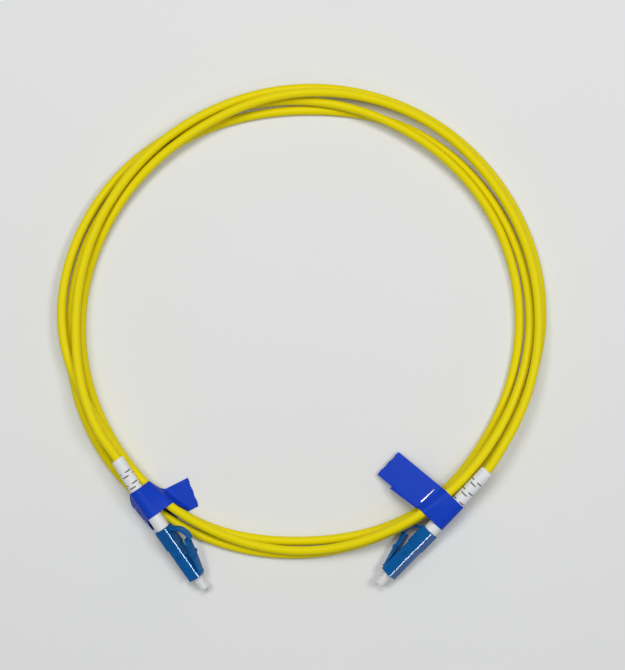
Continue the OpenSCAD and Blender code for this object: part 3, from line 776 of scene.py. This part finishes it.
# Every line along a strip is resampled at the same shares of the middle line, eased by the bell's running
# average, and moved out by the zigzag at both ends; the strip then gets its thickness along its own normals
def stripPiece(name, letter, rows):
    control = np.concatenate(rows, 1)
    run = runAlong(control[len(control) // 2])
    length = run[-1]
    even = np.linspace(0, length, tape["along"])
    k = np.clip(np.searchsorted(run, even, "right") - 1, 0, len(run) - 2)
    share = ((even - run[k]) / (run[k + 1] - run[k]))[None, :, None]
    lines = control[:, k] * (1 - share) + control[:, k + 1] * share
    bell, reach = bellWeights(length / (tape["along"] - 1), tape["easing"])
    before, after = lines[:, reach:0:-1], lines[:, -2:-reach - 2:-1]
    padded = np.concatenate([2 * lines[:, :1] - before, lines, 2 * lines[:, -1:] - after], 1)
    lines = sum(weight * padded[:, i:i + tape["along"]] for i, weight in enumerate(bell))
    tooth = tornEdge(np.linspace(0, 1, tape["across"]))[:, None, None]
    fade = np.linspace(1, 0, tape["toothReach"])[None, :, None]
    fromEnd = np.arange(tape["toothReach"])
    for index in (fromEnd, -1 - fromEnd):
        outward = unit(lines[:, index[0]] - lines[:, index[1]])
        lines[:, index] += tooth * fade * outward[:, None, :]
    half = unit(np.cross(np.gradient(lines, axis=1), np.gradient(lines, axis=0))) * tape["thickness"] / 2
    grid = np.concatenate([lines + half, (lines - half)[::-1]], 0).transpose(1, 0, 2)
    return gridPiece(name, atTable(letter, grid), paired=True), length


# What both wraps start from, across a tape whose rear edge lies at this distance from the joint: shares and
# stations across it, where the held cord passes and the boot's height there, and both radii with the tape on
def wrapStations(letter, rearEdge):
    u = np.linspace(0, 1, tape["across"])
    x = rearEdge + tape["width"] * u
    y, z = heldCord(letter, x)
    wrap = tape["gap"] + tape["thickness"] / 2
    return u, x, y, z, bootHeight(letter, x), bootRadius(x) + wrap, cord["diameter"] / 2 + wrap + 0 * x


# A finished tape: dressed, and its length printed
def dressTape(letter, piece, length):
    dress(piece, rootBody, "tape_blue", finishes["tape"], "tape_" + letter)
    print("stage: tape " + letter + ",", round(length / mm, 1), "mm long")


tapeA = {
    "rearEdge": -15.8 * mm,
    "flag": ((-9.3 * mm, 15.9 * mm), (0.8 * mm, 13.6 * mm)),  # the flag's two far corners
    "fold": -5.2 * mm,  # across the plug, where the strip turns up beside the boot
    "foldSlant": 0.123,  # how fast the fold nears the boot from its rear edge on
    "foldAhead": 4.0 * mm,  # how far the fold lies ahead of the wrap
    "foldHeight": 0.6 * mm,
    "foldStart": (0.2 * mm, 0.3 * mm),  # from there: along and across, where the strip leaves the table
    "flankPull": -0.35 * mm,  # how far the flank's middle is pulled outwards
    "overCord": -0.1 * mm,  # how far the strip lies ahead over the cord
    "letGo": 12.0,  # angle at which it leaves the cord's far side
    # From there down: how far ahead of the wrap, room left beside the cord, and height
    "side": (
        (2.2 * mm, 0.15 * mm, 3.7 * mm), (4.4 * mm, 0.5 * mm, 1.4 * mm), (5.4 * mm, 1.2 * mm, tape["over"])),
    "setBack": 0.4 * mm,  # of the top layer's end, behind the first one's
    "arcPoints": (24, 16),
}


# Tape a: flag on the table, slanting under the ring, up the outside of the boot, over boot and cord, then
# slanting down the cord and out over the flag
def makeTapeA():
    u, x, y, z, bz, rb, rq = wrapStations("a", tapeA["rearEdge"])
    leave = tautAngle((0, bz), rb, (y, z), rq)
    fold = tapeA["fold"] + (x - tapeA["rearEdge"]) * tapeA["foldSlant"]
    ahead, height, (startX, startY) = tapeA["foldAhead"], tapeA["foldHeight"], tapeA["foldStart"]
    flank = (fold - rb) / 2 + tapeA["flankPull"]
    (fx0, fy0), (fx1, fy1) = tapeA["flag"]
    flagX, flagY = fx0 + (fx1 - fx0) * u, fy0 + (fy1 - fy0) * u
    overBoot, overCord = tapeA["arcPoints"]
    down = [
        pointRow(x + slip, heldCord("a", x + slip)[0] + rq + room, up) for slip, room, up in tapeA["side"]]
    rows = [
        pointRow(flagX, flagY, tape["under"]), pointRow(x + ahead + startX, fold + startY, tape["under"]),
        pointRow(x + ahead, fold, height), pointRow(x + ahead / 2, flank, bz / 2),
        arcRow(x, (0 * x, bz), rb, 180, leave, overBoot),
        arcRow(x + tapeA["overCord"], (y, z), rq, leave, tapeA["letGo"], overCord),
        *down, pointRow(flagX, flagY - tapeA["setBack"], tape["over"]),
    ]
    dressTape("a", *stripPiece("tapeStripA", "a", rows))


tapeB = {
    "rearEdge": -13.6 * mm,
    "end": 25.7 * mm,  # of the flag, across the plug
    "endHeight": 1.7 * mm,
    "skew": 1.6 * mm,  # how far the flag's end lies ahead of the wrap
    "mouth": (0.1 * mm, 2.5 * mm, -0.6 * mm),  # where the flag starts: ahead, across and up from the cord
    "firstEnd": 19.5 * mm,  # of the first layer, below the flag
    "firstSkew": 2.0 * mm,
    "layerGap": 0.07 * mm,
    # Rows of the first layer below the mouth: how far ahead of the wrap, how far across from the cord,
    "parting": (0.6 * mm, 2.9 * mm, 0.4 * mm),  # and how far past the mouth on the flag's slope
    "neck": ((0.5 * mm, 2.35 * mm, -1.4 * mm), (0.4 * mm, 2.1 * mm, -2.4 * mm)),  # and up from the cord
    "side": (  # and up from the table
        (0.4 * mm, 2.2 * mm, 4.0 * mm), (0.4 * mm, 2.45 * mm, 2.6 * mm), (0.4 * mm, 2.35 * mm, 0.9 * mm),
        (0.3 * mm, 2.0 * mm, tape["under"])),
    "turnUp": -2.2 * mm,  # across the plug, where the strip leaves the table
    "flank": (0.05 * mm, 0.6 * mm),  # how far inside the boot's flank it then passes, and up
    "arcPoints": 20,
}


# Tape b: flag sloping down from the cord, first layer down beside the ring, under it, up the outside of the
# boot, over boot and cord and out above the first layer beyond its end
def makeTapeB():
    _, x, y, z, bz, rb, rq = wrapStations("b", tapeB["rearEdge"])
    y = -y
    end, endHeight, skew, firstEnd = (tapeB[key] for key in ("end", "endHeight", "skew", "firstEnd"))
    mouthX, mouthY, mouthZ = (start + by for start, by in zip((x, y, z), tapeB["mouth"]))
    slope = (mouthZ - endHeight) / (end - mouthY)
    below = tape["thickness"] + tapeB["layerGap"]
    partX, partY, past = tapeB["parting"]
    leave, meet = tautAngle((0, bz), rb, (y, z), rq), tautAngle((y, z), rq, (mouthY, mouthZ), 0)
    inside, up = tapeB["flank"]
    rows = [
        pointRow(x + tapeB["firstSkew"], firstEnd, endHeight + slope * (end - firstEnd) - below),
        pointRow(x + partX, y + partY, mouthZ - past * slope - below),
        *[pointRow(x + ahead, y + across, z + above) for ahead, across, above in tapeB["neck"]],
        *[pointRow(x + ahead, y + across, height) for ahead, across, height in tapeB["side"]],
        pointRow(x, tapeB["turnUp"], tape["under"]), pointRow(x, inside - rb, up),
        arcRow(x, (0 * x, bz), rb, 180, leave, tapeB["arcPoints"]),
        arcRow(x, (y, z), rq, leave, meet, tapeB["arcPoints"]),
        pointRow(mouthX, mouthY, mouthZ), pointRow(x + skew, end, endHeight),
    ]
    dressTape("b", *stripPiece("tapeStripB", "b", [row * np.array([1, -1, 1]) for row in rows]))


makeTapeA()
makeTapeB()

staple = {"edge": 0.1 * mm}
for letter in plugs:
    name = "stapleWire" + letter.upper()
    roundedCopy("staple_" + letter, name, staple["edge"], rootBody, "staple_metal", finishes["staple"])
print("stage: staples")

stage = {
    "half": 1.2,
    "drop": 0.03 * mm,  # a hair below everything that rests on it
    "skyColour": (0.97, 0.98, 1.0, 1),
    "skyStrength": 0.22,
}

# Each lamp: its place, its length and width, its power, and the way that its length lies over the table.
# All face the middle of the table. The two small ones stand where the cut edges of the plugs mirror them.
lamps = {
    "leftLamp": {"place": (-0.38, 0.16, 0.85), "size": (0.30, 0.30), "power": 2.3, "along": (1, 0)},
    "rightLamp": {"place": (0.50, 0.12, 0.82), "size": (0.30, 0.30), "power": 2.25, "along": (1, 0)},
    "backLamp": {"place": (0.0, 0.36, 0.90), "size": (0.35, 0.35), "power": 2.6, "along": (1, 0)},
    "edgeLampA": {
        "place": (0.397, -0.083, 0.85), "size": (0.09, 0.035), "power": 0.32, "along": (0.6, -0.8),
    },
    "edgeLampB": {
        "place": (0.228, -0.572, 0.85), "size": (0.09, 0.035), "power": 0.32, "along": (-0.66, -0.75),
    },
}


# A flat square table, the lamps, each turned so that its back points away from the table's middle, and a sky
def makeStage():
    mesh = bpy.data.meshes.new("table")
    h, top = stage["half"], -stage["drop"]
    mesh.from_pydata([(-h, -h, top), (h, -h, top), (h, h, top), (-h, h, top)], [], [(0, 1, 2, 3)])
    table = bpy.data.objects.new("tableTop", mesh)
    scene.collection.objects.link(table)
    mesh.materials.append(makeFinish(
        "paleTable", tone=(0.765, 0.775, 0.765), darkTone=(0.735, 0.745, 0.735), broad=12.0, fine=900.0,
        roughness=0.75, drift=0.1, depth=0.03 * mm))
    for name, lamp in lamps.items():
        data = bpy.data.lights.new(name, "AREA")
        data.shape, data.energy = "ELLIPSE", lamp["power"]
        data.size, data.size_y = lamp["size"]
        source = bpy.data.objects.new(name, data)
        source.location = lamp["place"]
        back = Vector(lamp["place"]).normalized()
        across = back.cross(Vector((*lamp["along"], 0))).normalized()
        source.rotation_euler = Matrix((across.cross(back), across, back)).transposed().to_euler()
        scene.collection.objects.link(source)
    world = bpy.data.worlds.new("softRoom")
    world.use_nodes = True
    background = world.node_tree.nodes["Background"]
    background.inputs["Color"].default_value = stage["skyColour"]
    background.inputs["Strength"].default_value = stage["skyStrength"]
    scene.world = world


makeStage()
print("stage: table, lamp and sky")
